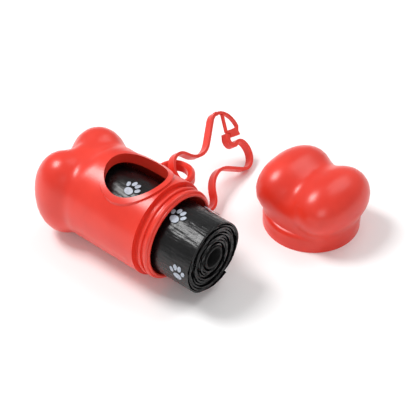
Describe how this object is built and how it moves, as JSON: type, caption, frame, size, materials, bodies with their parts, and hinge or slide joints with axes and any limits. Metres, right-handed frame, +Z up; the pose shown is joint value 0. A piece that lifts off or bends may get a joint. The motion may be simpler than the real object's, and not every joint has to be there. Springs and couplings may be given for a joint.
{
  "type": "dog waste bag dispenser",
  "caption": "Bone-shaped dispenser for rolls of dog waste bags, opened, with its end cap beside it, the roll sliding out and a bone-shaped clip on its eye.",
  "frame": {"origin": "middle of the footprint of the whole arrangement, on the surface it rests on", "axes": "+X along the body from its bone end to its mouth, +Y from the body towards the cap and the clip, +Z up"},
  "size_m": [0.1062, 0.1008, 0.0409],
  "materials": {
    "shell_plastic": "smooth semi-gloss",
    "clip_plastic": "smooth semi-gloss",
    "bag_film": "soft sheen",
    "core_board": "matte"
  },
  "bodies": {
    "body": {"body_shell": "shell_plastic"},
    "cap": {"end_cap": "shell_plastic"},
    "core": {"roll_core": "core_board"},
    "film": {"bag_roll": "bag_film"},
    "clip": {"clip_frame": "clip_plastic"},
    "gate": {"clip_gate": "clip_plastic"}
  },
  "joints": [
    {"name": "roll_slide", "type": "slide", "parent": "body", "child": "core", "axis": [1, 0, 0], "range_m": [-0.01, 0.042]},
    {"name": "roll_spin", "type": "hinge", "parent": "core", "child": "film", "pos_m": [0, -0.02835, 0.0192], "axis": [1, 0, 0], "continuous": true},
    {"name": "cap_lift", "type": "slide", "parent": "body", "child": "cap", "axis": [0, 0, 1], "range_m": [0, 0.04]},
    {"name": "clip_swing", "type": "hinge", "parent": "body", "child": "clip", "pos_m": [-0.01471, 0.00345, 0.01929], "axis": [0.7364, 0.2112, 0.6428], "range_deg": [-30, 100]},
    {"name": "gate_flex", "type": "hinge", "parent": "clip", "child": "gate", "pos_m": [-0.02649, 0.03626, 0.02201], "axis": [0.7364, 0.2112, 0.6428], "range_deg": [0, 25], "stiffness_Nm_per_rad": 0.01}
  ]
}
